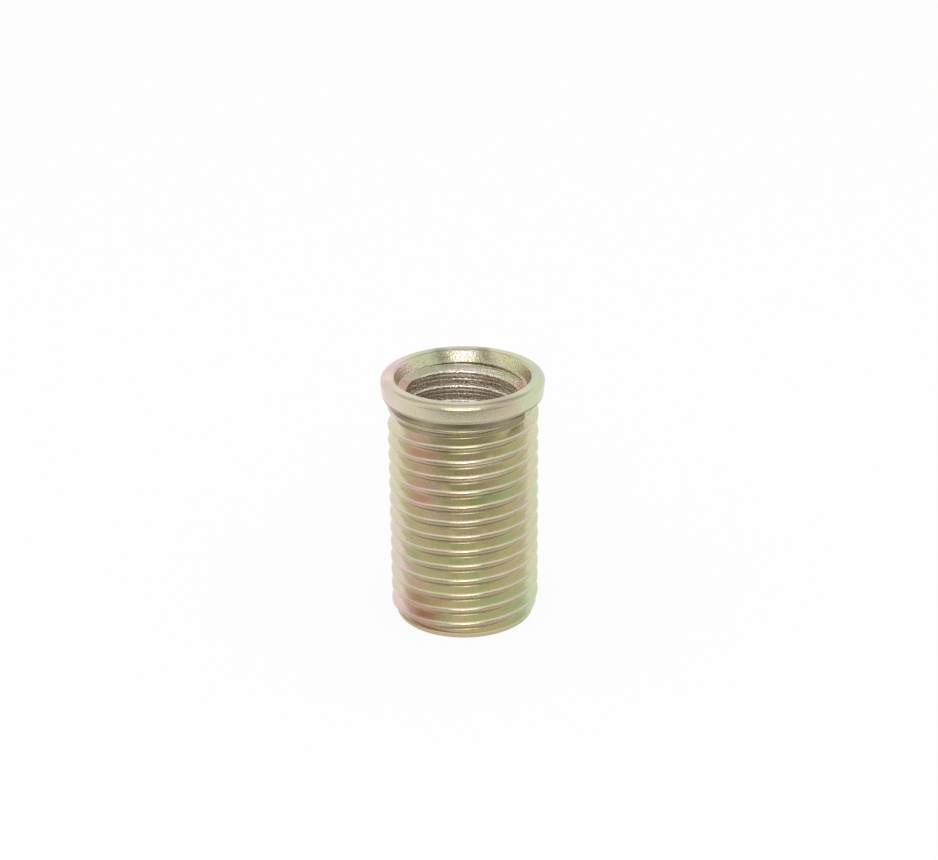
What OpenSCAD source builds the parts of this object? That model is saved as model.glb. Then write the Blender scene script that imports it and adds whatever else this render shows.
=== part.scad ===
// Thread repair insert: a flanged steel bush, threaded outside and bored for a tapped thread inside.
// The axis is +Z, the origin is the centre of the lower end, and sizes are in millimetres.

/* [Body] */
// Length from the lower end to the top of the flange
insert_l = 24; // [14:0.5:40]
// Thickness of the wall from the bore to the crests of the external thread
wall_t = 1.8; // [1.5:0.05:2.6]
// Height of the plain pilot at the lower end
pilot_h = 0.5; // [0.3:0.05:1.2]
// How far the pilot stands in from the crests, which is also the height of the shoulder above it
pilot_step = 0.48; // [0.2:0.02:0.6]
// Height and depth of the chamfer on the pilot's lower edge
edge_break = 0.1; // [0.05:0.01:0.2]
// Height and depth of the lead-in at the lower end of the bore
lead_in = 0.8; // [0.3:0.05:0.9]

/* [External thread] */
// Diameter over the crests
thread_d = 14; // [10:0.1:20]
// Distance from one crest to the next
thread_pitch = 1.5; // [1:0.05:2]
// Width of the flat on the crests
crest_flat = 0.36; // [0.2:0.01:0.45]
// Width of the flat at the bottom of the groove
root_flat = 0.2; // [0.1:0.01:0.3]
// Angle between the two flanks of the groove
flank_angle = 60; // [55:1:65]
// Drop from the flange to the middle of the topmost groove, at the front
groove_drop = 1.73; // [1.6:0.01:2.2]

/* [Neck] */
// Height of the plain neck from the flange to the last turn of the groove
neck_h = 1.05; // [0.9:0.05:1.4]
// How far the neck stands in from the crests
neck_in = 0.1; // [0.05:0.01:0.2]
// How far outside the crests the flange's flat seat begins, beyond a chamfered corner
seat_clear = 0.05; // [0.02:0.01:0.15]
// Turn over which the upper edge of the groove stays level with the foot of the neck
level_turn = 180; // [120:5:240]
// Turn over which the groove then widens into the neck
widen_turn = 70; // [40:5:120]
// Turn over which the groove fades out at its end
fade_turn = 70; // [30:5:120]

/* [Flange] */
// Height of the flange
flange_h = 1.9; // [1.5:0.05:3]
// How far the rim stands out from the crests
rim_overhang = 0.6; // [0.5:0.05:1.5]
// How far the flange's lower edge stands out from the crests
foot_overhang = 0.45; // [0.1:0.05:0.6]
// Radius of the rounded rim
rim_round = 0.5; // [0.2:0.05:0.7]

/* [Mouth of the bore] */
// Depth of the tapered mouth
mouth_h = 1.1; // [0.8:0.05:1.3]
// Angle across the mouth's tapered wall
mouth_angle = 40; // [20:1:50]
// How far the lower end of the tapered wall stands out from the bore
mouth_step = 0.76; // [0.6:0.02:0.9]
// Radius of the mouth's rounded upper edge
mouth_round = 0.3; // [0.1:0.05:0.4]
// Angle across the conical floor between the mouth and the bore
floor_angle = 120; // [90:5:150]

/* [Detail] */
// Facets in each turn of the groove
groove_facets = 36; // [24:2:48]

/* [Hidden] */

crest_r = thread_d/2;
bore_r = crest_r - wall_t;
pilot_r = crest_r - pilot_step;
neck_r = crest_r - neck_in;
rim_r = crest_r + rim_overhang;
flange_z = insert_l - flange_h;
neck_z = flange_z - neck_h;
// Height and width of the chamfer in the corner between the neck and the flange
corner_t = neck_in + seat_clear;

// Mouth of the bore, from the top down: rounded edge, tapered wall and conical floor
mouth_lean = mouth_angle/2;
mouth_z = insert_l - mouth_h;
mouth_r = bore_r + mouth_step;
mouth_edge_r = mouth_r + mouth_h*tan(mouth_lean) + mouth_round*tan((90 - mouth_lean)/2);
bore_top_z = mouth_z - mouth_step/tan(floor_angle/2);

// Arc at the top of the insert, round a centre one radius below it
arc_steps = 8;
function top_arc(centre_r, radius, start, end) = [for (i = [0:arc_steps])
  let (a = start + (end - start)*i/arc_steps)
  [centre_r + radius*cos(a), insert_l - radius + radius*sin(a)]];

// Section of the groove: a flat root and two straight flanks that open to the crests.
flank_slope = tan(flank_angle/2);
half_groove = (thread_pitch - crest_flat)/2;
groove_depth = (half_groove - root_flat/2)/flank_slope;
// The cut reaches this far outside the crests, and its end stays below the flange all the same.
cut_clearance = 0.8*corner_t/flank_slope;

// Path of the groove: ring k stands half a facet past k facets from +X, and climbs anticlockwise.
facet_turn = 360/groove_facets;
// Directions of the front, where groove_drop is measured, and of the groove's end
front_turn = -90;
end_turn = 45;
fade_start = end_turn - fade_turn;
widen_start = fade_start - widen_turn;
level_start = widen_start - level_turn;
last_ring = floor(end_turn/facet_turn);
first_ring = -ceil((flange_z - groove_drop + 2*thread_pitch)/thread_pitch*groove_facets);

function ring_turn(k) = (k + 0.5)*facet_turn;
function ring_z(k) = flange_z - groove_drop + thread_pitch*(ring_turn(k) - front_turn)/360;
// How far along a stretch of the path a ring stands, from 0 at its start to 1 at its end
function share(k, start, length) = min(1, max(0, (ring_turn(k) - start)/length));
// The groove reaches the foot of the neck in the first third of its level stretch.
function levelling(k) = share(k, level_start, level_turn/3);
function widening(k) = pow(share(k, widen_start, widen_turn), 2);
function fading(k) = share(k, fade_start, fade_turn - facet_turn);

// Height of the groove's upper edge at the crests: its own flank, then level, then up to the corner
function upper_edge(k) =
  let (
    own = ring_z(k) + half_groove,
    level = own + levelling(k)*max(0, neck_z - own),
    s = widening(k))
  (1 - s)*level + s*(flange_z - corner_t);

// The four corners of the cut at ring k, from the lower root round to the upper root
function ring(k) =
  let (
    lift = fading(k)*(groove_depth + cut_clearance),
    root_r = crest_r - groove_depth + lift,
    out_r = crest_r + cut_clearance + lift,
    low = ring_z(k) - half_groove,
    high = upper_edge(k),
    corners = [
      [root_r, low + groove_depth*flank_slope],
      [out_r, low - cut_clearance*flank_slope],
      [out_r, high + cut_clearance*flank_slope],
      [root_r, high - groove_depth*flank_slope]
    ])
  [for (c = corners) [c[0]*cos(ring_turn(k)), c[0]*sin(ring_turn(k)), c[1]]];

// Cut of the external thread, as one closed sweep
module thread_groove() {
  rings = last_ring - first_ring;
  points = [for (k = [first_ring:last_ring]) each ring(k)];
  sides = [for (i = [0:rings - 1], c = [0:3])
    let (a = 4*i + c, b = 4*i + (c + 1)%4)
    each [[a, b + 4, a + 4], [a, b, b + 4]]];
  ends = [[3, 2, 1, 0], [for (c = [0:3]) 4*rings + c]];
  polyhedron(points, concat(sides, ends), convexity = 10);
}

// Turned blank: lead-in, pilot, plain body, neck, flange with a rounded rim, and the bore's mouth
module blank() {
  rotate_extrude($fn = 96)
    polygon(concat(
      [
        [bore_r, lead_in],
        [bore_r + lead_in, 0],
        [pilot_r - edge_break, 0],
        [pilot_r, edge_break],
        [pilot_r, pilot_h],
        [crest_r, pilot_h + pilot_step],
        [crest_r, neck_z - neck_in],
        [neck_r, neck_z],
        [neck_r, flange_z - corner_t],
        [neck_r + corner_t, flange_z],
        [crest_r + foot_overhang, flange_z]
      ],
      top_arc(rim_r - rim_round, rim_round, 0, 90),
      top_arc(mouth_edge_r, mouth_round, 90, 180 - mouth_lean),
      [
        [mouth_r, mouth_z],
        [bore_r, bore_top_z]
      ]));
}

module thread_insert() {
  color("#A69C6E")
    difference() {
      blank();
      thread_groove();
    }
}

thread_insert();
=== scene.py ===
"""A thread repair insert, dressed and lit around its packed construction model.

The insert is one turned steel bush: a fine thread outside, a tapped thread inside, and a small
flange with a tapered mouth. It is modelled here in millimetres, as it would be on a lathe: a
blank is spun from its outline, the two threads are cut into it by helical tools, and the finished
mesh is brought to metres in the frame of the construction model.
"""
import logging
import math
from dataclasses import dataclass, field
from enum import Enum
from typing import Any

import bpy
import numpy as np
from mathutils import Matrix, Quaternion, Vector


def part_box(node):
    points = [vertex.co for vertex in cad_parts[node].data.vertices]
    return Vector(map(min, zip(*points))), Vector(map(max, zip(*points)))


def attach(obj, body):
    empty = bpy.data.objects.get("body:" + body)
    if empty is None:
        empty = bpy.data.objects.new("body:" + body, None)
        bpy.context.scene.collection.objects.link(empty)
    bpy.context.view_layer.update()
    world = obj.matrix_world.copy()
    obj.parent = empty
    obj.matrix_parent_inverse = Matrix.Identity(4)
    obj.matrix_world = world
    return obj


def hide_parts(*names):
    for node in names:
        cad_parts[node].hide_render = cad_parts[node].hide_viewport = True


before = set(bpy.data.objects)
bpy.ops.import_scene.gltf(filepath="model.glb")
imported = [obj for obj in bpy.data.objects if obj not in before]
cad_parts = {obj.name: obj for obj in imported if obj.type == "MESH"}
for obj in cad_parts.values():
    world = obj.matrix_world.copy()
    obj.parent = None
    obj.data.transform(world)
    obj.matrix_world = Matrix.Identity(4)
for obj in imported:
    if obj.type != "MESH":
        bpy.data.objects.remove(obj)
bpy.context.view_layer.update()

NODE = "thread_insert"
BODY = "root"

MM = 0.001
# Width of the picture in pixels
IMAGE_W = 938
# Facets in a full turn
SEGMENTS = 120
# Points nearer than this are merged
MERGE_MM = 0.0004
# Faces that meet at less than this are shaded smooth
SMOOTH_ANGLE = math.radians(32)

log = logging.getLogger("thread_insert")

Point = tuple[float, float]
Place = tuple[float, float, float]


class ThreadSide(Enum):
    """Which wall of the bush a thread is cut into."""

    OUTSIDE = 1
    INSIDE = -1


@dataclass(frozen=True)
class Corner:
    """One corner of a turned outline, in millimetres.

    Attributes:
        r: Distance from the axis.
        z: Height above the lower end.
        round: Radius of the rounding, 0 for a sharp corner.
    """

    r: float
    z: float
    round: float = 0.0


def linear(hex_colour: str) -> tuple[float, float, float, float]:
    """Turns an sRGB hex colour into linear RGBA.

    Args:
        hex_colour: Six hex digits after a hash sign.

    Returns:
        Linear red, green and blue, and full alpha.
    """
    channels = [int(hex_colour[i:i + 2], 16) / 255 for i in (1, 3, 5)]
    bent = [c / 12.92 if c <= 0.04045 else ((c + 0.055) / 1.055) ** 2.4 for c in channels]
    return (*bent, 1.0)


def direction(azimuth: float, elevation: float) -> Vector:
    """Gives the direction from the insert towards a place around it.

    Args:
        azimuth: Degrees from the front, positive towards +X.
        elevation: Degrees above the tabletop.

    Returns:
        A unit vector.
    """
    turn = math.radians(azimuth)
    lift = math.radians(elevation)
    flat = math.cos(lift)
    return Vector((math.sin(turn) * flat, -math.cos(turn) * flat, math.sin(lift)))


def arc(centre: Point, radius: float, start: float, end: float, step: float = 9.0) -> list[Point]:
    """Lists the points of an arc in the outline's plane.

    Args:
        centre: Middle of the arc.
        radius: Radius of the arc.
        start: Angle of the first point in degrees, from the outward direction towards +Z.
        end: Angle of the last point in degrees.
        step: Widest angle between two points, in degrees.

    Returns:
        The points from start to end, both included.
    """
    count = max(1, math.ceil(abs(end - start) / step))
    angles = [math.radians(start + (end - start) * i / count) for i in range(count + 1)]
    return [(centre[0] + radius * math.cos(a), centre[1] + radius * math.sin(a)) for a in angles]


def rounded_outline(corners: list[Corner]) -> list[Point]:
    """Rounds the corners of a closed outline.

    Args:
        corners: The corners in order round the outline.

    Returns:
        The outline's points, with an arc in place of each rounded corner.
    """
    points: list[Point] = []
    for i, corner in enumerate(corners):
        here = Vector((corner.r, corner.z))
        if corner.round == 0.0:
            points.append((corner.r, corner.z))
            continue
        before = corners[i - 1]
        after = corners[(i + 1) % len(corners)]
        to_before = (Vector((before.r, before.z)) - here).normalized()
        to_after = (Vector((after.r, after.z)) - here).normalized()
        half = to_before.angle(to_after) / 2
        middle = (to_before + to_after).normalized()
        centre = here + middle * (corner.round / math.sin(half))
        reach = corner.round / math.tan(half)
        first = here + to_before * reach - centre
        last = here + to_after * reach - centre
        start = math.degrees(math.atan2(first.y, first.x))
        turn = math.degrees(math.atan2(last.y, last.x)) - start
        turn = (turn + 180) % 360 - 180
        points += arc((centre.x, centre.y), corner.round, start, start + turn)
    return points


def draw_outline(name: str, points: list[Point]) -> bpy.types.Object:
    """Draws a closed outline in the XZ plane by pulling one vertex from point to point.

    Args:
        name: Name of the new object.
        points: The outline's points, as distance from the axis and height.

    Returns:
        The object, left in edit mode with all of it selected.
    """
    bpy.ops.object.select_all(action="DESELECT")
    bpy.ops.mesh.primitive_plane_add(size=1.0, location=(0.0, 0.0, 0.0))
    piece = bpy.context.object
    piece.name = name
    bpy.ops.object.mode_set(mode="EDIT")
    bpy.ops.mesh.select_mode(type="VERT")
    bpy.ops.mesh.select_all(action="SELECT")
    bpy.ops.mesh.merge(type="CENTER")
    here = (0.0, 0.0)
    for i, point in enumerate([*points, points[0]]):
        move = (point[0] - here[0], 0.0, point[1] - here[1])
        if i == 0:
            bpy.ops.transform.translate(value=move)
        else:
            bpy.ops.mesh.extrude_region_move(TRANSFORM_OT_translate={"value": move})
        here = point
    bpy.ops.mesh.select_all(action="SELECT")
    bpy.ops.mesh.remove_doubles(threshold=MERGE_MM)
    return piece


def apply_modifier(piece: bpy.types.Object, kind: str, **settings: Any) -> None:
    """Adds a modifier with its settings and applies it.

    Args:
        piece: The mesh object.
        kind: Blender's name for the modifier's type.
        settings: The modifier's properties.
    """
    bpy.ops.object.select_all(action="DESELECT")
    piece.select_set(True)
    bpy.context.view_layer.objects.active = piece
    modifier = piece.modifiers.new(kind.lower(), kind)
    for key, value in settings.items():
        setattr(modifier, key, value)
    bpy.ops.object.modifier_apply(modifier=modifier.name)


def add_node(tree: bpy.types.NodeTree, kind: str, links: dict[str | int, Any] | None = None,
             **settings: Any) -> bpy.types.Node:
    """Adds a shader node with its settings, and links or sets its inputs.

    Args:
        tree: The node tree.
        kind: The node's type name.
        links: Input name or index to a socket to link from, or a value to set.
        settings: The node's own properties.

    Returns:
        The new node.
    """
    node = tree.nodes.new(kind)
    for key, value in settings.items():
        setattr(node, key, value)
    for key, value in (links or {}).items():
        if isinstance(value, bpy.types.NodeSocket):
            tree.links.new(value, node.inputs[key])
        else:
            node.inputs[key].default_value = value
    return node


@dataclass(frozen=True)
class StainOrPaintedLight:
    """A soft patch of another tint, where the chromate film is thicker or thinner, or where light is
    painted: a reflection or a highlight.

    Attributes:
        place: Middle of the patch, in millimetres.
        reach: Distance at which the patch has faded out, in millimetres.
        tint: Colour of the film, or of the painted light, there.
        strength: Share of that colour in the middle.
    """

    place: Place
    reach: float
    tint: str
    strength: float


@dataclass(frozen=True)
class Region:
    """A turned surface of the insert, in millimetres.

    Attributes:
        radius: Nearest and farthest distance from the axis.
        height: Lowest and highest height above the lower end.
    """

    radius: tuple[float, float]
    height: tuple[float, float]


@dataclass(frozen=True)
class Zone(Region):
    """A turned surface with a tint of its own, of the film or of painted shade.

    Attributes:
        tint: Colour there, of the film or of painted shade.
    """

    tint: str


@dataclass(frozen=True)
class Surface:
    """The sockets that say where a point of the insert lies, in millimetres.

    Attributes:
        tree: The material's nodes.
        place: Object coordinates.
        radius: Distance from the axis.
        height: Height above the lower end.
    """

    tree: bpy.types.NodeTree
    place: bpy.types.NodeSocket
    radius: bpy.types.NodeSocket
    height: bpy.types.NodeSocket


@dataclass(frozen=True)
class ChromatedZinc:
    """Yellow-chromated zinc on turned steel.

    The zinc is plated and then dipped in chromate, which leaves a thin see-through film. The film's
    thickness drifts over the surface, so the eye sees a satin metal of pale gold that runs to green
    and to rose. Between the flanks, where the metal mirrors itself, the gold deepens to olive.
    """

    # Colours of the film, and their places along its drift
    rose: str = "#DDC9C2"
    gold: str = "#D7CDB2"
    olive: str = "#D4CDAC"
    green: str = "#C3CFAB"
    stops: tuple[float, ...] = (0.27, 0.4, 0.54, 0.76)
    # Width of the drift's patches, and its lean to rose at -X and to green at +X
    drift_mm: float = 4.5
    lean: float = 0.2
    lean_reach: float = 7.0
    # How far the edge of a patch wavers
    waver_mm: float = 1.2
    # Roughness outside, how much the turning marks change it, and roughness of the bore
    roughness: float = 0.18
    roughness_spread: float = 0.04
    bore_roughness: float = 0.24
    # Width and depth of the turning marks and of the grain, and the grain's extra depth in the hollow
    turning_mm: float = 0.16
    turning_depth: float = 0.004
    grain_mm: float = 0.15
    grain_depth: float = 0.011
    hollow_extra: float = 4.0
    # How much the pits change the brightness, outside and in the bore
    pitting: float = 0.06
    bore_pitting: float = 0.3
    # Stretches of the two noises over which their effects run from least to most
    turning_range: tuple[float, float] = (0.3, 0.7)
    pitting_range: tuple[float, float] = (0.35, 0.65)
    # Width of the soft edge of the crest lands' tint, and how far to the sides its painted shade starts
    # and ends to clear
    crest_edge: float = 0.05
    crest_shade_clear: tuple[float, float] = (4.8, 6.6)
    # Surfaces that have their own grain or film, or their own painted shade
    mouth: Region = Region((0.0, 6.55), (22.2, 24.1))
    bore: Zone = Zone((0.0, 6.05), (0.0, 22.4), "#ECE1D5")
    mouth_floor: Zone = Zone((0.0, 6.0), (22.4, 22.95), "#CFC7AE")
    # Painted shade, partly film: the crest lands are darkened to stand for the grey card that they
    # mirror.
    crest_film_and_shade: Zone = Zone((6.94, 7.05), (0.0, 21.3), "#B0A083")
    # Painted shade: the neck, under the flange's overhang, is tinted darker.
    neck: Zone = Zone((6.3, 6.9), (21.36, 21.6), "#8E8268")
    # Painted shade: a dark line in the corner under the flange.
    neck_corner_painted_shade: Zone = Zone((6.3, 7.1), (21.6, 22.08), "#6E634B")
    # Painted shade: the thread's roots, deep in the grooves, are tinted darker.
    root_painted_shade: Zone = Zone((6.1, 6.2), (0.5, 21.3), "#978A6C")
    # Painted shade: the flange's underside and lower edge, over the gap beneath, are tinted darker.
    flange_foot_painted_shade: Zone = Zone((7.1, 7.6), (22.08, 22.4), "#A49B80")
    pilot: Zone = Zone((6.3, 6.56), (0.0, 0.42), "#BDB394")
    # Painted shade: a darker band in the corner above the pilot.
    pilot_corner_painted_shade: Zone = Zone((6.2, 6.6), (0.48, 0.58), "#A59A7E")
    stains_and_painted_light: tuple[StainOrPaintedLight, ...] = (
        # Flange, its mouth and the first turns of the bore
        StainOrPaintedLight((-6.4, -0.4, 23.6), 4.2, "#D0B9B1", 0.85),
        StainOrPaintedLight((-6.1, -0.2, 23.3), 2.4, "#F2D6CA", 0.9),
        StainOrPaintedLight((-2.6, -7.1, 22.8), 4.0, "#BFB79D", 0.7),
        StainOrPaintedLight((2.8, -7.1, 22.8), 4.0, "#C0B79D", 0.7),
        StainOrPaintedLight((6.8, 0.6, 23.4), 4.2, "#C3C2B4", 0.75),
        StainOrPaintedLight((0.0, 7.0, 24.0), 3.2, "#C3B8AC", 0.8),
        StainOrPaintedLight((3.6, -6.3, 24.0), 2.6, "#BBA292", 0.8),
        StainOrPaintedLight((-3.4, 5.6, 23.4), 2.8, "#BCC8A0", 0.8),
        StainOrPaintedLight((4.6, 4.4, 23.4), 4.6, "#CFCDA4", 0.8),
        # Painted reflection: two dark patches on either side of the highlight at the mouth's back stand
        # for darker surroundings mirrored there.
        StainOrPaintedLight((-1.9, 6.1, 23.3), 1.6, "#857E6C", 0.9),
        StainOrPaintedLight((2.0, 6.1, 23.3), 1.6, "#89826D", 0.9),
        # Painted highlight: a neutral grey patch where the key lamp's highlight falls at the mouth's
        # back sets its colour and brightness.
        StainOrPaintedLight((0.1, 6.3, 23.4), 1.2, "#C2BDB2", 0.9),
        StainOrPaintedLight((-5.4, 1.2, 22.0), 2.6, "#C99C90", 0.8),
        StainOrPaintedLight((5.4, 1.2, 22.0), 2.6, "#CFA091", 0.7),
        # Outside of the threaded body
        StainOrPaintedLight((-4.4, -5.4, 18.5), 2.5, "#D3AEA0", 0.8),
        StainOrPaintedLight((-4.4, -5.4, 14.5), 2.4, "#D3AEA0", 0.75),
        StainOrPaintedLight((-4.4, -5.4, 2.2), 3.6, "#BD9486", 0.8),
        StainOrPaintedLight((1.4, -6.8, 17.8), 3.6, "#DBD0B2", 0.75),
        StainOrPaintedLight((1.6, -6.8, 14.6), 1.5, "#BED3A0", 0.8),
        StainOrPaintedLight((-4.9, -5.0, 8.2), 1.8, "#BCC8A0", 0.7),
        StainOrPaintedLight((-1.5, -6.8, 6.7), 1.2, "#BCC8A0", 0.6),
        StainOrPaintedLight((-2.1, -6.7, 1.8), 1.3, "#BCC8A0", 0.6),
    )

    def drift(self, surface: Surface) -> bpy.types.NodeSocket:
        """Paints the slow drift of the film from rose through gold to green.

        Args:
            surface: Where the points of the insert lie.

        Returns:
            The colour socket.
        """
        tree = surface.tree
        noise = add_node(tree, "ShaderNodeTexNoise",
                         {"Vector": surface.place, "Scale": 1 / self.drift_mm, "Detail": 2.0})
        axes = add_node(tree, "ShaderNodeSeparateXYZ", {"Vector": surface.place})
        across = add_node(tree, "ShaderNodeMath", {0: axes.outputs["X"], 1: self.lean_reach},
                          operation="DIVIDE")
        # The cube keeps the lean to the two sides of the insert.
        cubed = add_node(tree, "ShaderNodeMath", {0: across.outputs[0], 1: 3.0}, operation="POWER")
        shift = add_node(tree, "ShaderNodeMath",
                         {0: cubed.outputs[0], 1: self.lean, 2: noise.outputs["Fac"]},
                         operation="MULTIPLY_ADD")
        ramp = add_node(tree, "ShaderNodeValToRGB", {"Fac": shift.outputs[0]})
        colours = (self.rose, self.gold, self.olive, self.green)
        while len(ramp.color_ramp.elements) < len(colours):
            ramp.color_ramp.elements.new(1.0)
        for element, stop, colour in zip(ramp.color_ramp.elements, self.stops, colours):
            element.position = stop
            element.color = linear(colour)
        return ramp.outputs["Color"]

    def share(self, surface: Surface, region: Region) -> bpy.types.NodeSocket:
        """Marks one region of the insert.

        Args:
            surface: Where the points of the insert lie.
            region: The region.

        Returns:
            A socket that is 1 in the region and 0 outside it.
        """
        marks = []
        for value, (low, high) in ((surface.radius, region.radius), (surface.height, region.height)):
            mark = add_node(surface.tree, "ShaderNodeMath",
                            {0: value, 1: (low + high) / 2, 2: (high - low) / 2}, operation="COMPARE")
            marks.append(mark.outputs[0])
        both = add_node(surface.tree, "ShaderNodeMath", {0: marks[0], 1: marks[1]}, operation="MULTIPLY")
        return both.outputs[0]

    def crest_film_and_painted_shade(self, surface: Surface) -> bpy.types.NodeSocket:
        """Marks the darker tint of the crest lands, partly film and partly painted shade for the grey
        card that they mirror, which clears towards the two sides of the insert.

        Args:
            surface: Where the points of the insert lie.

        Returns:
            The share of the crest lands' own tint.
        """
        tree = surface.tree
        inner_r = self.crest_film_and_shade.radius[0]
        proud = add_node(tree, "ShaderNodeMapRange",
                         {"Value": surface.radius, "From Min": inner_r,
                          "From Max": inner_r + self.crest_edge})
        # The painted shade clears towards the sides in X, where the lands mirror the white tabletop
        # behind.
        axes = add_node(tree, "ShaderNodeSeparateXYZ", {"Vector": surface.place})
        aside = add_node(tree, "ShaderNodeMath", {0: axes.outputs["X"]}, operation="ABSOLUTE")
        start, end = self.crest_shade_clear
        kept = add_node(tree, "ShaderNodeMapRange",
                        {"Value": aside.outputs[0], "From Min": start, "From Max": end,
                         "To Min": 1.0, "To Max": 0.0})
        share = self.share(surface, self.crest_film_and_shade)
        for part in (proud, kept):
            share = add_node(tree, "ShaderNodeMath", {0: share, 1: part.outputs["Result"]},
                             operation="MULTIPLY").outputs[0]
        return share

    def patches(self, surface: Surface) -> list[tuple[bpy.types.NodeSocket, str]]:
        """Lays the placed patches of film and of painted light, with wavering edges.

        Args:
            surface: Where the points of the insert lie.

        Returns:
            The share of each patch's colour, and the colour.
        """
        tree = surface.tree
        noise = add_node(tree, "ShaderNodeTexNoise",
                         {"Vector": surface.place, "Scale": 2 / self.drift_mm, "Detail": 3.0})
        waver = add_node(tree, "ShaderNodeVectorMath",
                         {0: noise.outputs["Color"], 1: (2 * self.waver_mm,) * 3,
                          2: (-self.waver_mm,) * 3}, operation="MULTIPLY_ADD")
        moved = add_node(tree, "ShaderNodeVectorMath", {0: surface.place, 1: waver.outputs[0]},
                         operation="ADD")
        shares = []
        for stain_or_light in self.stains_and_painted_light:
            away = add_node(tree, "ShaderNodeVectorMath", {0: moved.outputs[0], 1: stain_or_light.place},
                            operation="DISTANCE")
            share = add_node(tree, "ShaderNodeMapRange",
                             {"Value": away.outputs["Value"], "From Min": 0.0,
                              "From Max": stain_or_light.reach, "To Min": stain_or_light.strength, "To Max": 0.0},
                             interpolation_type="SMOOTHSTEP")
            shares.append((share.outputs["Result"], stain_or_light.tint))
        return shares

    def film(self, surface: Surface, inside: bpy.types.NodeSocket) -> bpy.types.NodeSocket:
        """Mixes the colour from the film's drift, its zones and its patches, some of which are painted
        shade, reflection and highlight.

        Args:
            surface: Where the points of the insert lie.
            inside: The share of the bore.

        Returns:
            The colour socket.
        """
        layers = [(inside, self.bore.tint), (self.crest_film_and_painted_shade(surface), self.crest_film_and_shade.tint)]
        # Of these zones, the neck, its corner, the roots, the flange's foot and the pilot's corner are
        # painted shade.
        for zone in (self.mouth_floor, self.neck, self.neck_corner_painted_shade, self.root_painted_shade, self.flange_foot_painted_shade,
                     self.pilot, self.pilot_corner_painted_shade):
            layers.append((self.share(surface, zone), zone.tint))
        colour = self.drift(surface)
        for share, tint in layers + self.patches(surface):
            colour = add_node(surface.tree, "ShaderNodeMix", {0: share, 6: colour, 7: linear(tint)},
                              data_type="RGBA").outputs[2]
        return colour

    def pitted(self, surface: Surface, colour: bpy.types.NodeSocket, grain: bpy.types.NodeSocket,
               inside: bpy.types.NodeSocket) -> bpy.types.NodeSocket:
        """Speckles the plating with fine pits, and more inside the bore, where less of it reaches.

        Args:
            surface: Where the points of the insert lie.
            colour: The film's colour.
            grain: The grain's noise.
            inside: The share of the bore.

        Returns:
            The speckled colour.
        """
        tree = surface.tree
        reach = add_node(tree, "ShaderNodeMath",
                         {0: inside, 1: self.bore_pitting - self.pitting, 2: self.pitting},
                         operation="MULTIPLY_ADD")
        darkest = add_node(tree, "ShaderNodeMath", {0: 1.0, 1: reach.outputs[0]}, operation="SUBTRACT")
        lightest = add_node(tree, "ShaderNodeMath", {0: 1.0, 1: reach.outputs[0]}, operation="ADD")
        low, high = self.pitting_range
        pits = add_node(tree, "ShaderNodeMapRange",
                        {"Value": grain, "From Min": low, "From Max": high,
                         "To Min": darkest.outputs[0], "To Max": lightest.outputs[0]})
        return add_node(tree, "ShaderNodeVectorMath", {0: colour, "Scale": pits.outputs["Result"]},
                        operation="SCALE").outputs[0]

    def relief(self, surface: Surface, shader: bpy.types.Node, grain: bpy.types.NodeSocket,
               inside: bpy.types.NodeSocket) -> None:
        """Gives the metal its roughness and the bumps of its turning marks and its grain.

        Args:
            surface: Where the points of the insert lie.
            shader: The material's shader.
            grain: The grain's noise.
            inside: The share of the bore.
        """
        tree = surface.tree
        # Turning marks are rings round the axis, so their noise reads only radius and height.
        section = add_node(tree, "ShaderNodeCombineXYZ", {"X": surface.radius, "Y": surface.height})
        marks = add_node(tree, "ShaderNodeTexNoise",
                         {"Vector": section.outputs[0], "Scale": 1 / self.turning_mm, "Detail": 2.0})
        low, high = self.turning_range
        rough = add_node(tree, "ShaderNodeMapRange",
                         {"Value": marks.outputs["Fac"], "From Min": low, "From Max": high,
                          "To Min": self.roughness - self.roughness_spread,
                          "To Max": self.roughness + self.roughness_spread})
        dulled = add_node(tree, "ShaderNodeMix",
                          {0: inside, 2: rough.outputs["Result"], 3: self.bore_roughness})
        tree.links.new(dulled.outputs[0], shader.inputs["Roughness"])
        ringed = add_node(tree, "ShaderNodeBump",
                          {"Height": marks.outputs["Fac"], "Strength": 1.0,
                           "Distance": self.turning_depth * MM})
        # The grain is deeper in the bore and its mouth, where little plating reaches.
        hollow = add_node(tree, "ShaderNodeMath", {0: inside, 1: self.share(surface, self.mouth)},
                          operation="MAXIMUM")
        deeper = add_node(tree, "ShaderNodeMath", {0: hollow.outputs[0], 1: self.hollow_extra, 2: 1.0},
                          operation="MULTIPLY_ADD")
        swell = add_node(tree, "ShaderNodeMath", {0: grain, 1: deeper.outputs[0]}, operation="MULTIPLY")
        grained = add_node(tree, "ShaderNodeBump",
                           {"Height": swell.outputs[0], "Strength": 1.0,
                            "Distance": self.grain_depth * MM, "Normal": ringed.outputs["Normal"]})
        tree.links.new(grained.outputs["Normal"], shader.inputs["Normal"])

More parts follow.
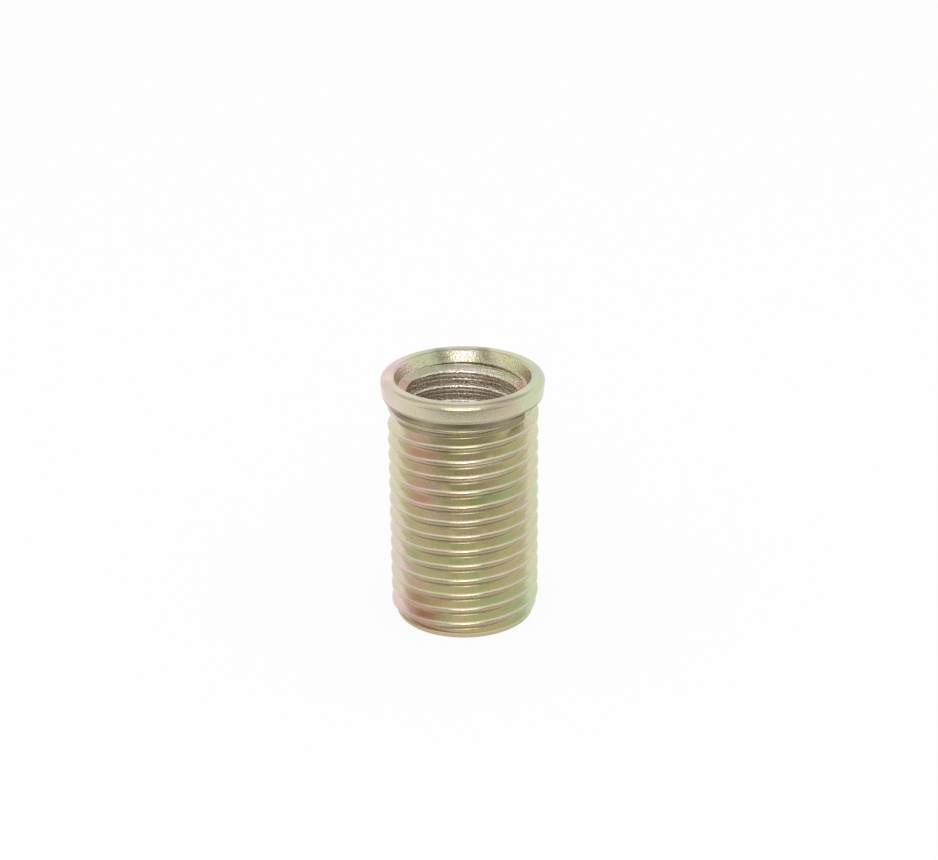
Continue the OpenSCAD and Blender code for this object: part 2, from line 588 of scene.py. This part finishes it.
    def material(self) -> bpy.types.Material:
        """Builds the material, with its film, its pits, turning marks and plated grain."""
        made = bpy.data.materials.new("yellow_chromated_zinc")
        made.use_nodes = True
        tree = made.node_tree
        shader = tree.nodes["Principled BSDF"]
        shader.inputs["Metallic"].default_value = 1.0
        coords = add_node(tree, "ShaderNodeTexCoord")
        place = add_node(tree, "ShaderNodeVectorMath", {0: coords.outputs["Object"], "Scale": 1 / MM},
                         operation="SCALE").outputs[0]
        flat = add_node(tree, "ShaderNodeVectorMath", {0: place, 1: (1.0, 1.0, 0.0)},
                        operation="MULTIPLY")
        radius = add_node(tree, "ShaderNodeVectorMath", {0: flat.outputs[0]},
                          operation="LENGTH").outputs["Value"]
        height = add_node(tree, "ShaderNodeSeparateXYZ", {"Vector": place}).outputs["Z"]
        grain = add_node(tree, "ShaderNodeTexNoise",
                         {"Vector": place, "Scale": 1 / self.grain_mm, "Detail": 1.0}).outputs["Fac"]
        surface = Surface(tree, place, radius, height)
        inside = self.share(surface, self.bore)
        colour = self.pitted(surface, self.film(surface, inside), grain, inside)
        tree.links.new(colour, shader.inputs["Base Color"])
        self.relief(surface, shader, grain, inside)
        return made


@dataclass
class ThreadTool:
    """A helical cutting tool for one thread, in millimetres.

    Attributes:
        side: The wall that the tool cuts.
        wall_r: Radius of the wall before the cut.
        depth: How deep the tool cuts.
        half_mouth: Half the width of the groove at the wall.
        low_round: Radius of the rounding at the groove's lower lip.
        high_round: Radius of the rounding at the groove's upper lip.
        root_round: Radius of the rounding at the bottom of the groove.
        start_z: Height of the groove's middle at the start of the sweep, over +X.
        turns: Turns of the sweep, anticlockwise and upwards.
        pitch: Rise in one turn.
    """

    side: ThreadSide
    wall_r: float
    depth: float
    half_mouth: float
    low_round: float
    high_round: float
    root_round: float
    start_z: float
    turns: float
    pitch: float

    # Angle of the flanks, and the angle at which a lip meets the wall, in degrees
    FLANK = 30.0
    ARRIVAL = 15.0
    # How far the section reaches out of the wall, at its lips and at its back
    PROUD = 0.02
    BACK = 0.25
    # Widest angle between two points of the root's arc and of a lip's arc, in degrees
    ROOT_STEP = 15.0
    LIP_STEP = 9.0

    def half_section(self, lip_round: float) -> list[Point]:
        """Lists one half of the tool's section from the root to its back, as if it were the upper.

        Args:
            lip_round: Radius of the rounding at this half's lip.

        Returns:
            Points as distance out of the wall, negative in the metal, and height above the middle.
        """
        slope = math.tan(math.radians(self.FLANK))
        root_half = self.half_mouth - self.depth * slope
        root_centre = (-(self.depth - self.root_round), root_half - self.root_round * slope)
        lip_centre = (-lip_round, self.half_mouth + lip_round * slope)
        flank_turn = 90.0 + self.FLANK
        points = arc(root_centre, self.root_round, 180.0, flank_turn, self.ROOT_STEP)
        points += arc(lip_centre, lip_round, self.FLANK - 90.0, -self.ARRIVAL, self.LIP_STEP)
        last_out, last_z = points[-1]
        climb = (self.PROUD - last_out) / math.tan(math.radians(self.ARRIVAL))
        points.append((self.PROUD, last_z + climb))
        points.append((self.BACK, last_z + climb))
        return points

    def section(self) -> list[Point]:
        """Lists the whole closed section at the start of the sweep, as radius and height."""
        upper = self.half_section(self.high_round)
        lower = [(out, -z) for out, z in reversed(self.half_section(self.low_round))]
        return [(self.wall_r + self.side.value * out, self.start_z + z) for out, z in lower + upper]

    def sweep(self, name: str) -> bpy.types.Object:
        """Sweeps the section along its helix into a closed tool.

        Args:
            name: Name of the tool's object.

        Returns:
            The tool, in object mode.
        """
        tool = draw_outline(name, self.section())
        bpy.ops.object.mode_set(mode="OBJECT")
        steps = round(SEGMENTS * self.turns)
        apply_modifier(tool, "SCREW", axis="Z", angle=2 * math.pi * self.turns,
                       screw_offset=self.pitch * self.turns, steps=steps, render_steps=steps)
        bpy.ops.object.mode_set(mode="EDIT")
        bpy.ops.mesh.select_all(action="SELECT")
        bpy.ops.mesh.fill_holes(sides=0)
        bpy.ops.mesh.normals_make_consistent(inside=False)
        bpy.ops.object.mode_set(mode="OBJECT")
        return tool


@dataclass
class ThreadInsert:
    """The insert: a turned blank with both threads cut into it, in millimetres and degrees."""

    length: float
    rim_r: float
    crest_r: float = 7.0
    bore_r: float = 5.2
    edge_round: float = 0.05
    # Lower end
    lead_in: float = 0.8
    pilot_h: float = 0.5
    pilot_step: float = 0.48
    pilot_round: float = 0.12
    # Neck and flange
    neck_h: float = 1.05
    neck_in: float = 0.1
    seat_clear: float = 0.05
    ridge_h: float = 0.23
    ridge_out: float = 0.06
    ridge_round: float = 0.15
    flange_h: float = 1.9
    side_lean: float = 6.3
    foot_round: float = 0.2
    rim_round: float = 0.5
    # Mouth of the bore
    mouth_h: float = 1.1
    mouth_angle: float = 40.0
    mouth_step: float = 0.76
    mouth_round: float = 0.3
    floor_angle: float = 120.0
    # External thread
    pitch: float = 1.5
    crest_flat: float = 0.36
    root_flat: float = 0.2
    crest_top_round: float = 0.3
    crest_foot_round: float = 0.02
    groove_drop: float = 1.73
    end_turn: float = 45.0
    level_turn: float = 180.0
    widen_turn: float = 70.0
    fade_turn: float = 70.0
    # Tapped thread
    inner_depth: float = 0.74
    inner_front_z: float = 20.53
    inner_round: float = 0.22
    inner_root_round: float = 0.08
    finish: ChromatedZinc = field(default_factory=ChromatedZinc)

    # Parts of the fading and of the level stretch that the tool takes to get out and to get level
    FADE_PART = 0.95
    LEVEL_PART = 1 / 3

    @property
    def flange_z(self) -> float:
        """Height of the flange's underside."""
        return self.length - self.flange_h

    @property
    def neck_z(self) -> float:
        """Height of the foot of the neck."""
        return self.flange_z - self.neck_h

    @property
    def corner_t(self) -> float:
        """Size of the rounded corner between the neck and the flange's seat."""
        return self.neck_in + self.seat_clear

    def outline(self) -> list[Point]:
        """Lists the section of the turned blank."""
        lean = math.tan(math.radians(self.side_lean))
        side_r = self.rim_r - self.rim_round * (1 - 1 / math.cos(math.radians(self.side_lean)))
        rim_corner = side_r + self.rim_round * lean
        foot_r = side_r - (self.flange_h - self.rim_round) * lean
        mouth_r = self.bore_r + self.mouth_step
        mouth_z = self.length - self.mouth_h
        mouth_spread = self.mouth_h * math.tan(math.radians(self.mouth_angle / 2))
        floor_drop = self.mouth_step / math.tan(math.radians(self.floor_angle / 2))
        pilot_r = self.crest_r - self.pilot_step
        neck_r = self.crest_r - self.neck_in - self.ridge_out
        ridge_z = self.neck_z + self.ridge_h
        corners = [
            Corner(self.bore_r, self.lead_in, self.edge_round),
            Corner(self.bore_r + self.lead_in, 0.0, self.edge_round),
            Corner(pilot_r, 0.0, self.pilot_round),
            Corner(pilot_r, self.pilot_h, self.edge_round),
            Corner(self.crest_r, self.pilot_h + self.pilot_step, self.edge_round),
            Corner(self.crest_r, ridge_z, self.ridge_round),
            Corner(neck_r, ridge_z + self.neck_in, self.edge_round),
            Corner(neck_r, self.flange_z, self.corner_t),
            Corner(foot_r, self.flange_z, self.foot_round),
            Corner(rim_corner, self.length, self.rim_round),
            Corner(mouth_r + mouth_spread, self.length, self.mouth_round),
            Corner(mouth_r, mouth_z, self.edge_round),
            Corner(self.bore_r, mouth_z - floor_drop, self.edge_round),
        ]
        return rounded_outline(corners)

    def blank(self) -> bpy.types.Object:
        """Spins the outline into the blank."""
        piece = draw_outline("insert_body", self.outline())
        bpy.ops.mesh.spin(steps=SEGMENTS, angle=2 * math.pi, center=(0, 0, 0), axis=(0, 0, 1))
        bpy.ops.mesh.select_all(action="SELECT")
        bpy.ops.mesh.remove_doubles(threshold=MERGE_MM)
        bpy.ops.mesh.normals_make_consistent(inside=False)
        bpy.ops.object.mode_set(mode="OBJECT")
        return piece

    def outer_tool(self) -> bpy.types.Object:
        """Makes the tool of the external thread, with its run-out under the flange."""
        half_mouth = (self.pitch - self.crest_flat) / 2
        depth = (half_mouth - self.root_flat / 2) / math.tan(math.radians(ThreadTool.FLANK))
        front_z = self.flange_z - self.groove_drop
        end_z = front_z + self.pitch * (self.end_turn + 90) / 360
        turns = math.ceil(end_z / self.pitch) + 1 + self.end_turn / 360
        start_z = end_z - self.pitch * turns
        cutter = ThreadTool(
            side=ThreadSide.OUTSIDE, wall_r=self.crest_r, depth=depth, half_mouth=half_mouth,
            low_round=self.crest_top_round, high_round=self.crest_foot_round,
            root_round=self.root_flat / 2, start_z=start_z, turns=turns, pitch=self.pitch)
        tool = cutter.sweep("outer_tool")
        self.run_out(tool, cutter)
        return tool

    def run_out(self, tool: bpy.types.Object, cutter: ThreadTool) -> None:
        """Shapes the end of the outer tool: level with the neck's foot, then up the neck and out.

        Args:
            tool: The swept tool.
            cutter: The sizes that it was swept with.
        """
        count = len(cutter.section())
        rings = round(SEGMENTS * cutter.turns) + 1
        place = np.empty(len(tool.data.vertices) * 3)
        tool.data.vertices.foreach_get("co", place)
        place = place.reshape(rings, count, 3)
        turned = (np.arange(rings) / SEGMENTS - cutter.turns) * 360
        fade = np.clip((turned + self.fade_turn) / (self.fade_turn * self.FADE_PART), 0, 1)
        widen_start = self.fade_turn + self.widen_turn
        widen = np.clip((turned + widen_start) / self.widen_turn, 0, 1) ** 2
        level_start = widen_start + self.level_turn
        level = np.clip((turned + level_start) / (self.level_turn * self.LEVEL_PART), 0, 1)
        own = cutter.start_z + self.pitch * np.arange(rings) / SEGMENTS + cutter.half_mouth
        edge = own + level * np.maximum(0, self.neck_z - own)
        edge = (1 - widen) * edge + widen * (self.flange_z - self.corner_t)
        upper = np.arange(count) >= count // 2
        place[:, :, 2] += (edge - own)[:, None] * upper[None, :]
        radius = np.hypot(place[:, :, 0], place[:, :, 1])
        lifted = radius + fade[:, None] * (cutter.depth + ThreadTool.PROUD)
        place[:, :, :2] *= (lifted / radius)[:, :, None]
        tool.data.vertices.foreach_set("co", place.ravel())
        tool.data.update()

    def inner_tool(self) -> bpy.types.Object:
        """Makes the tool of the tapped thread, which runs out at both ends of the bore."""
        # The standard profile is open over three quarters of the pitch at the minor diameter.
        half_mouth = 3 * self.pitch / 8
        over_x = self.inner_front_z + self.pitch / 4
        start_z = over_x - self.pitch * (math.ceil(over_x / self.pitch) + 1)
        turns = math.ceil((self.length - start_z) / self.pitch) + 1
        cutter = ThreadTool(
            side=ThreadSide.INSIDE, wall_r=self.bore_r, depth=self.inner_depth, half_mouth=half_mouth,
            low_round=self.inner_round, high_round=self.inner_round,
            root_round=self.inner_root_round, start_z=start_z, turns=turns, pitch=self.pitch)
        return cutter.sweep("inner_tool")

    def build(self) -> bpy.types.Object:
        """Builds the finished piece in metres and dresses it.

        Returns:
            The insert's object, at the origin.
        """
        piece = self.blank()
        for tool in (self.outer_tool(), self.inner_tool()):
            apply_modifier(piece, "BOOLEAN", operation="DIFFERENCE", solver="EXACT", object=tool)
            bpy.data.objects.remove(tool)
        bpy.ops.object.mode_set(mode="EDIT")
        bpy.ops.mesh.select_all(action="SELECT")
        bpy.ops.mesh.remove_doubles(threshold=MERGE_MM)
        bpy.ops.transform.resize(value=(MM, MM, MM), center_override=(0, 0, 0))
        bpy.ops.object.mode_set(mode="OBJECT")
        bpy.ops.object.shade_smooth_by_angle(angle=SMOOTH_ANGLE)
        apply_modifier(piece, "WEIGHTED_NORMAL", mode="FACE_AREA", weight=100, keep_sharp=True)
        piece.data.materials.clear()
        piece.data.materials.append(self.finish.material())
        return piece


@dataclass(frozen=True)
class SoftBox:
    """A square lamp that faces the insert.

    Attributes:
        name: Name of the lamp.
        azimuth: Degrees from the front, positive towards +X.
        elevation: Degrees above the tabletop.
        distance: Distance from the insert's middle in metres.
        size: Side of the square in metres.
        radiance: Brightness of its face, where the white tent is 1.
    """

    name: str
    azimuth: float
    elevation: float
    distance: float
    size: float
    radiance: float

    def place(self, target: Vector) -> None:
        """Hangs the lamp and turns it towards a point.

        Args:
            target: The point that the lamp faces.
        """
        data = bpy.data.lights.new(self.name, "AREA")
        data.size = self.size
        data.energy = self.radiance * math.pi * self.size ** 2
        lamp = bpy.data.objects.new(self.name, data)
        bpy.context.scene.collection.objects.link(lamp)
        towards = direction(self.azimuth, self.elevation)
        lamp.location = target + towards * self.distance
        lamp.rotation_mode = "QUATERNION"
        lamp.rotation_quaternion = towards.to_track_quat("Z", "Y")


def show_in_metal(card: bpy.types.Object, made: bpy.types.Material, tone: Any) -> None:
    """Gives a card of the stage an even glow, seen only where the metal mirrors it.

    Args:
        card: The card.
        made: Its material, which gets the glow.
        tone: Colour of the glow, or the socket that gives it.
    """
    tree = made.node_tree
    glow = add_node(tree, "ShaderNodeEmission", {"Color": tone, "Strength": 1.0})
    tree.links.new(glow.outputs[0], tree.nodes["Material Output"].inputs["Surface"])
    card.data.materials.append(made)
    card.visible_camera = False
    card.visible_diffuse = False
    card.visible_shadow = False


@dataclass(frozen=True)
class Flag:
    """A grey card that stands on the tabletop and is seen only in the metal.

    Attributes:
        name: Name of the card.
        azimuth: Degrees from the front to its middle, positive towards +X.
        spread: Degrees that it spans to the sides.
        rise: Degrees that it reaches above the tabletop.
        distance: Distance from the insert's axis in metres.
        tone: Its colour.
    """

    name: str
    azimuth: float
    spread: float
    rise: float
    distance: float
    tone: str

    def place(self) -> None:
        """Stands the card up, facing the insert."""
        width = 2 * self.distance * math.tan(math.radians(self.spread / 2))
        rise = self.distance * math.tan(math.radians(self.rise))
        towards = direction(self.azimuth, 0.0)
        bpy.ops.object.select_all(action="DESELECT")
        bpy.ops.mesh.primitive_plane_add(size=1.0, location=(0, 0, 0))
        card = bpy.context.object
        card.name = self.name
        card.scale = (width, rise, 1.0)
        card.location = towards * self.distance + Vector((0, 0, rise / 2))
        card.rotation_euler = (math.pi / 2, 0.0, math.radians(self.azimuth))
        made = bpy.data.materials.new(self.name)
        made.use_nodes = True
        show_in_metal(card, made, linear(self.tone))


@dataclass
class Studio:
    """A white tabletop in a white tent, with cards that only the metal sees, lamps and the camera."""

    # Camera: the point that it looks at, in millimetres, and its place and lens
    target: Place = (0.549, 0.0, 18.419)
    distance: float = 193.98
    elevation: float = 23.503
    roll: float = -0.556
    focal_px: float = 2085.4
    # Tabletop: side in metres, finish, and the share of its true light and shadow
    floor_m: float = 4.0
    paper: str = "#F6F6F6"
    paper_roughness: float = 0.9
    shadow_share: float = 0.1
    # Grey card before the insert: its lift, its reach along Y and X in millimetres, and its tones
    card_lift: float = 0.05
    card_near: float = -30.0
    card_far: float = -48.0
    card_end: float = -160.0
    card_half: float = 120.0
    card_light: str = "#FFFFFF"
    card_dark: str = "#B6B6B6"
    # Tent: where the backdrop ends, in degrees, the light above it, and the blend at its sides
    backdrop_top: tuple[float, float] = (35.0, 40.0)
    ceiling: float = 0.65
    backdrop_blend: float = 0.3
    lamps: tuple[SoftBox, ...] = (
        SoftBox("window", 0.0, 18.0, 0.5, 0.4, 1.05),
        SoftBox("key", 0.0, 18.0, 0.48, 0.1, 4.5),
    )
    flags: tuple[Flag, ...] = (
        Flag("right_flag", 34.0, 26.0, 32.0, 0.45, "#E2E2E2"),
        Flag("left_flag", -37.0, 26.0, 32.0, 0.45, "#E6E6E6"),
    )

    def camera(self) -> None:
        """Places the camera that frames the insert as the picture does."""
        data = bpy.data.cameras.new("camera")
        data.sensor_width = 36.0
        data.lens = data.sensor_width * self.focal_px / IMAGE_W
        data.clip_start = 0.005
        data.clip_end = 10.0
        camera = bpy.data.objects.new("camera", data)
        bpy.context.scene.collection.objects.link(camera)
        back = direction(0.0, self.elevation)
        camera.location = (Vector(self.target) + back * self.distance) * MM
        look = (-back).to_track_quat("-Z", "Y")
        camera.rotation_mode = "QUATERNION"
        camera.rotation_quaternion = look @ Quaternion((0, 0, 1), math.radians(self.roll))
        bpy.context.scene.camera = camera

    def floor(self) -> None:
        """Lays the tabletop: white to the camera and in mirrors, with a faint true shadow."""
        bpy.ops.object.select_all(action="DESELECT")
        bpy.ops.mesh.primitive_plane_add(size=self.floor_m, location=(0, 0, 0))
        floor = bpy.context.object
        floor.name = "tabletop"
        made = bpy.data.materials.new("white_paper")
        made.use_nodes = True
        tree = made.node_tree
        paper = tree.nodes["Principled BSDF"]
        paper.inputs["Base Color"].default_value = linear(self.paper)
        paper.inputs["Roughness"].default_value = self.paper_roughness
        path = add_node(tree, "ShaderNodeLightPath")
        seen = path.outputs["Is Camera Ray"]
        for kind in ("Is Glossy Ray", "Is Transmission Ray"):
            seen = add_node(tree, "ShaderNodeMath", {0: seen, 1: path.outputs[kind]},
                            operation="MAXIMUM").outputs[0]
        share = add_node(tree, "ShaderNodeMath", {0: seen, 1: 1 - self.shadow_share},
                         operation="MULTIPLY")
        white = add_node(tree, "ShaderNodeEmission", {"Color": (1, 1, 1, 1), "Strength": 1.0})
        mixed = add_node(tree, "ShaderNodeMixShader",
                         {0: share.outputs[0], 1: paper.outputs[0], 2: white.outputs[0]})
        tree.links.new(mixed.outputs[0], tree.nodes["Material Output"].inputs["Surface"])
        floor.data.materials.append(made)

    def card(self) -> None:
        """Lays a grey card on the tabletop before the insert, seen only in the metal."""
        depth = (self.card_near - self.card_end) * MM
        middle = (self.card_near + self.card_end) / 2 * MM
        bpy.ops.object.select_all(action="DESELECT")
        bpy.ops.mesh.primitive_plane_add(size=1.0, location=(0, 0, 0))
        card = bpy.context.object
        card.name = "grey_card"
        bpy.ops.object.mode_set(mode="EDIT")
        bpy.ops.transform.resize(value=(2 * self.card_half * MM, depth, 1.0), center_override=(0, 0, 0))
        bpy.ops.transform.translate(value=(0, middle, self.card_lift * MM))
        bpy.ops.object.mode_set(mode="OBJECT")
        made = bpy.data.materials.new("grey_card")
        made.use_nodes = True
        tree = made.node_tree
        coords = add_node(tree, "ShaderNodeTexCoord")
        axes = add_node(tree, "ShaderNodeSeparateXYZ", {"Vector": coords.outputs["Object"]})
        share = add_node(tree, "ShaderNodeMapRange",
                         {"Value": axes.outputs["Y"], "From Min": self.card_near * MM,
                          "From Max": self.card_far * MM},
                         interpolation_type="SMOOTHSTEP")
        tone = add_node(tree, "ShaderNodeMix",
                        {0: share.outputs["Result"], 6: linear(self.card_light),
                         7: linear(self.card_dark)}, data_type="RGBA")
        show_in_metal(card, made, tone.outputs[2])

    def world(self) -> None:
        """Surrounds the insert with white, dimmer above the backdrop behind it."""
        world = bpy.data.worlds.new("tent")
        bpy.context.scene.world = world
        world.use_nodes = True
        tree = world.node_tree
        coords = add_node(tree, "ShaderNodeTexCoord")
        axes = add_node(tree, "ShaderNodeSeparateXYZ", {"Vector": coords.outputs["Generated"]})
        low, high = (math.sin(math.radians(lift)) for lift in self.backdrop_top)
        above = add_node(tree, "ShaderNodeMapRange",
                         {"Value": axes.outputs["Z"], "From Min": low, "From Max": high})
        behind = add_node(tree, "ShaderNodeMapRange",
                          {"Value": axes.outputs["Y"], "From Min": -self.backdrop_blend,
                           "From Max": self.backdrop_blend})
        both = add_node(tree, "ShaderNodeMath",
                        {0: above.outputs["Result"], 1: behind.outputs["Result"]}, operation="MULTIPLY")
        dimmed = add_node(tree, "ShaderNodeMath", {0: both.outputs[0], 1: self.ceiling - 1, 2: 1.0},
                          operation="MULTIPLY_ADD")
        path = add_node(tree, "ShaderNodeLightPath")
        strength = add_node(tree, "ShaderNodeMath",
                            {0: dimmed.outputs[0], 1: path.outputs["Is Camera Ray"]},
                            operation="MAXIMUM")
        backdrop = tree.nodes["Background"]
        backdrop.inputs["Color"].default_value = (1, 1, 1, 1)
        tree.links.new(strength.outputs[0], backdrop.inputs["Strength"])
        bpy.context.scene.view_settings.view_transform = "Standard"

    def build(self) -> None:
        """Sets up the whole studio."""
        self.floor()
        self.card()
        self.world()
        for lamp in self.lamps:
            lamp.place(Vector(self.target) * MM)
            log.info("lamp %s", lamp.name)
        for flag in self.flags:
            flag.place()
            log.info("flag %s", flag.name)
        self.camera()


def main() -> None:
    """Builds the insert and its studio, and reports each piece."""
    logging.basicConfig(level=logging.INFO, format="%(name)s: %(message)s")
    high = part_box(NODE)[1]
    insert = ThreadInsert(length=high.z / MM, rim_r=high.x / MM)
    piece = insert.build()
    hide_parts(NODE)
    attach(piece, BODY)
    piece.data.calc_loop_triangles()
    log.info("%s: %d triangles", piece.name, len(piece.data.loop_triangles))
    Studio().build()


if __name__ == "__main__":
    main()
